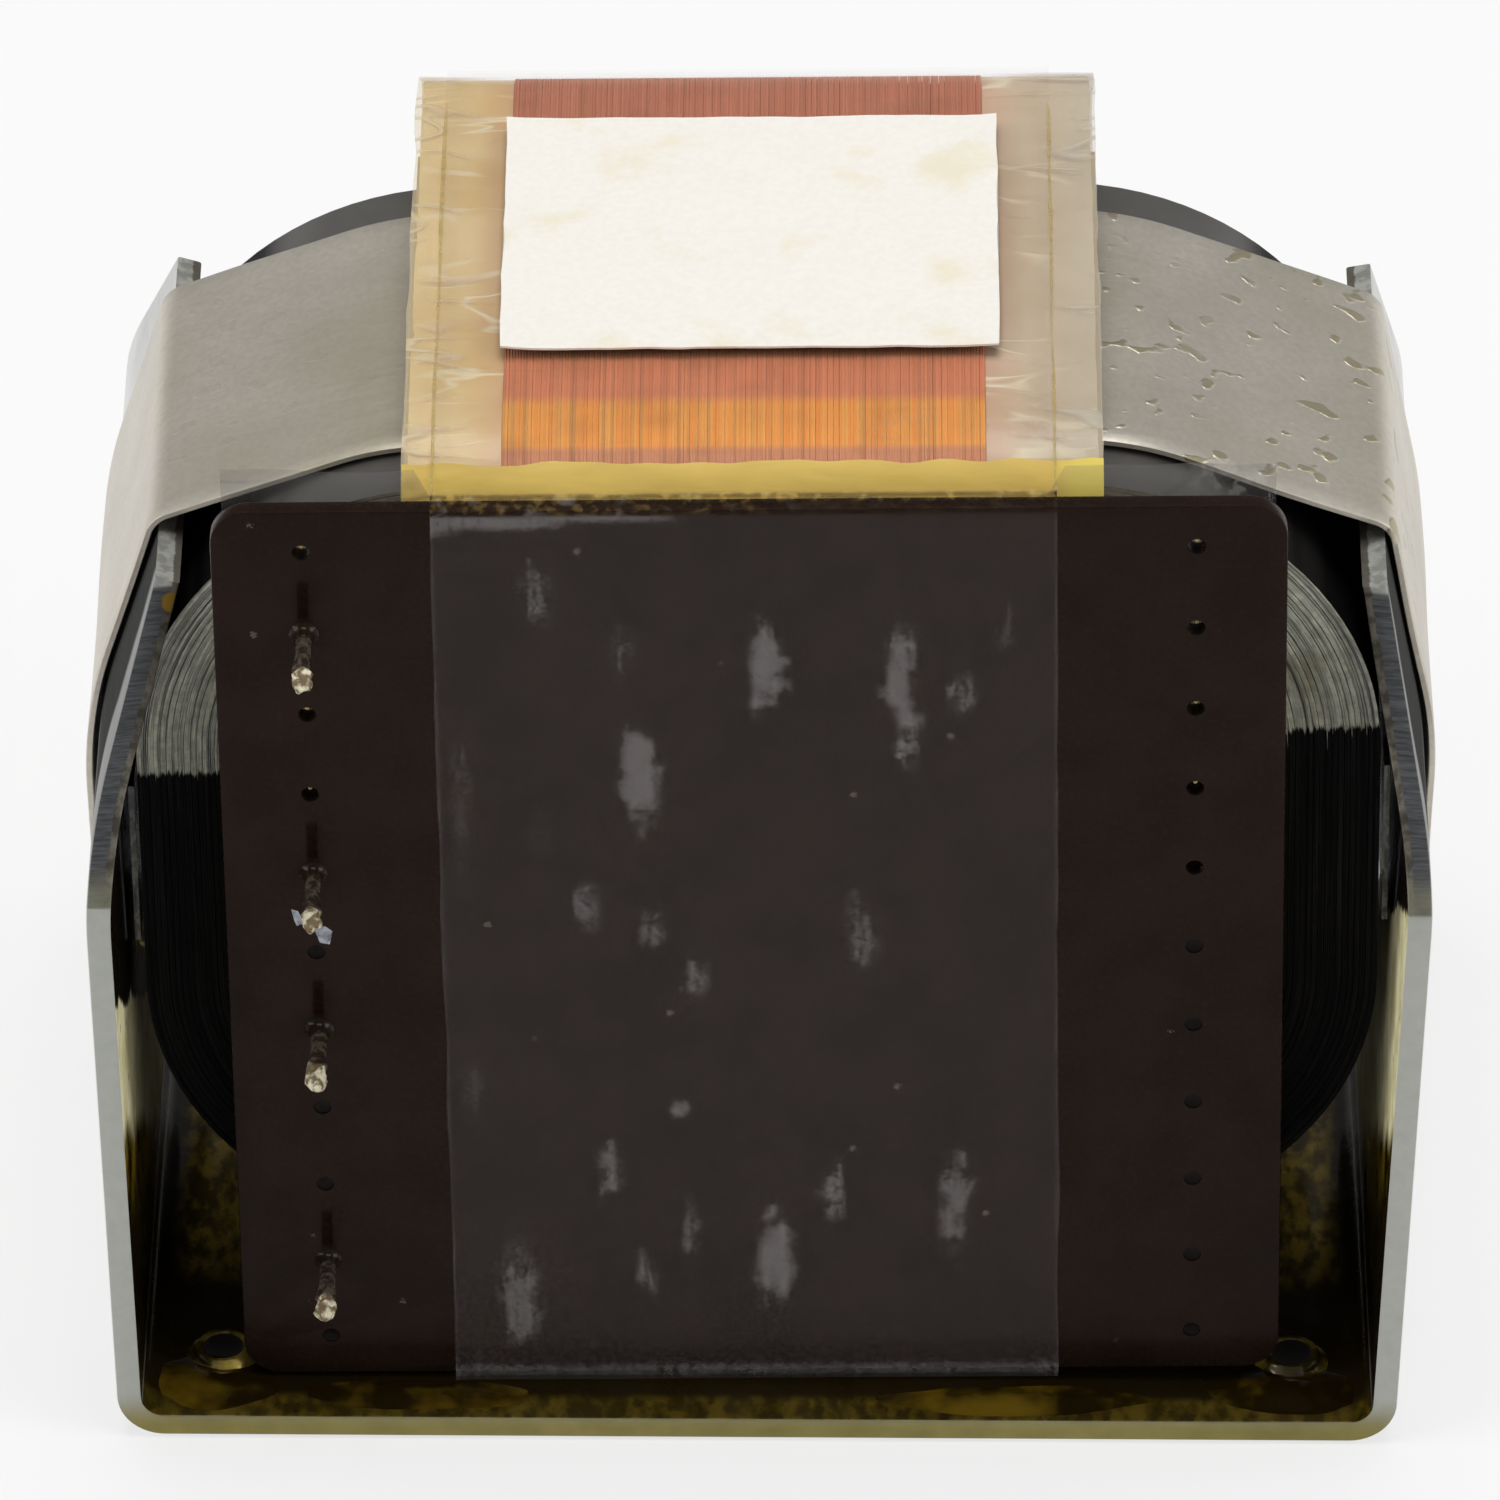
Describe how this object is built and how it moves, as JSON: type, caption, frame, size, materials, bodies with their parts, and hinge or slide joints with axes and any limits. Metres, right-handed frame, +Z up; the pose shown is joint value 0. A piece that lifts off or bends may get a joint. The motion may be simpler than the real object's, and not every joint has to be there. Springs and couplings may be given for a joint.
{
  "type": "choke inductor",
  "caption": "Choke inductor: strip-wound C-core with a coil on each leg, held by a steel band in a folded bracket, with a pinned terminal board in front.",
  "frame": {"origin": "middle of the flat underside of the bracket, where it rests on the chassis", "axes": "+Z up from the chassis, -Y towards the terminal board and its pins, +X to the right when the pins face the viewer"},
  "size_m": [0.0708, 0.0507, 0.0599],
  "materials": {
    "plated_steel": "bright plated sheet, streaked inside with amber to black impregnating varnish",
    "band_steel": "grey steel strip with small yellow varnish spots",
    "core_strip": "edges of wound strip, silvery above, black varnish below",
    "paper_former": "impregnated board",
    "amber_film": "translucent film, creased at its edges",
    "copper_wire": "fine enamelled copper wire under film",
    "yellow_sheet": "yellow insulating sheet",
    "clear_film": "clear tape and film with unstuck blotches",
    "phenolic_board": "dark brown phenolic laminate, satin gloss, fine pale dust",
    "soldered_pin": "dull solder, cream at the tip",
    "label_paper": "bare white paper with light yellow stains",
    "black_compound": "glossy black bonding compound"
  },
  "bodies": {
    "root": {"bracket": "plated_steel", "clamp_band": "band_steel", "core_half_left": "core_strip", "core_half_right": "core_strip", "gap_spacer_upper": "paper_former", "gap_spacer_lower": "paper_former", "coil_former_upper": "paper_former", "coil_former_lower": "paper_former", "layer_films_upper": "amber_film", "layer_films_lower": "amber_film", "copper_winding_upper": "copper_wire", "copper_winding_lower": "copper_wire", "outer_film_upper": "amber_film", "outer_film_lower": "amber_film", "front_insulation": "yellow_sheet", "clear_sheet": "clear_film", "terminal_board": "phenolic_board", "pin_1": "soldered_pin", "pin_2": "soldered_pin", "pin_3": "soldered_pin", "pin_4": "soldered_pin", "lead_wire_1": "copper_wire", "lead_wire_2": "copper_wire", "lead_wire_3": "copper_wire", "lead_wire_4": "copper_wire", "assembly_tape": "clear_film", "label": "label_paper", "side_pad_left": "black_compound", "side_pad_right": "black_compound"}
  },
  "joints": []
}
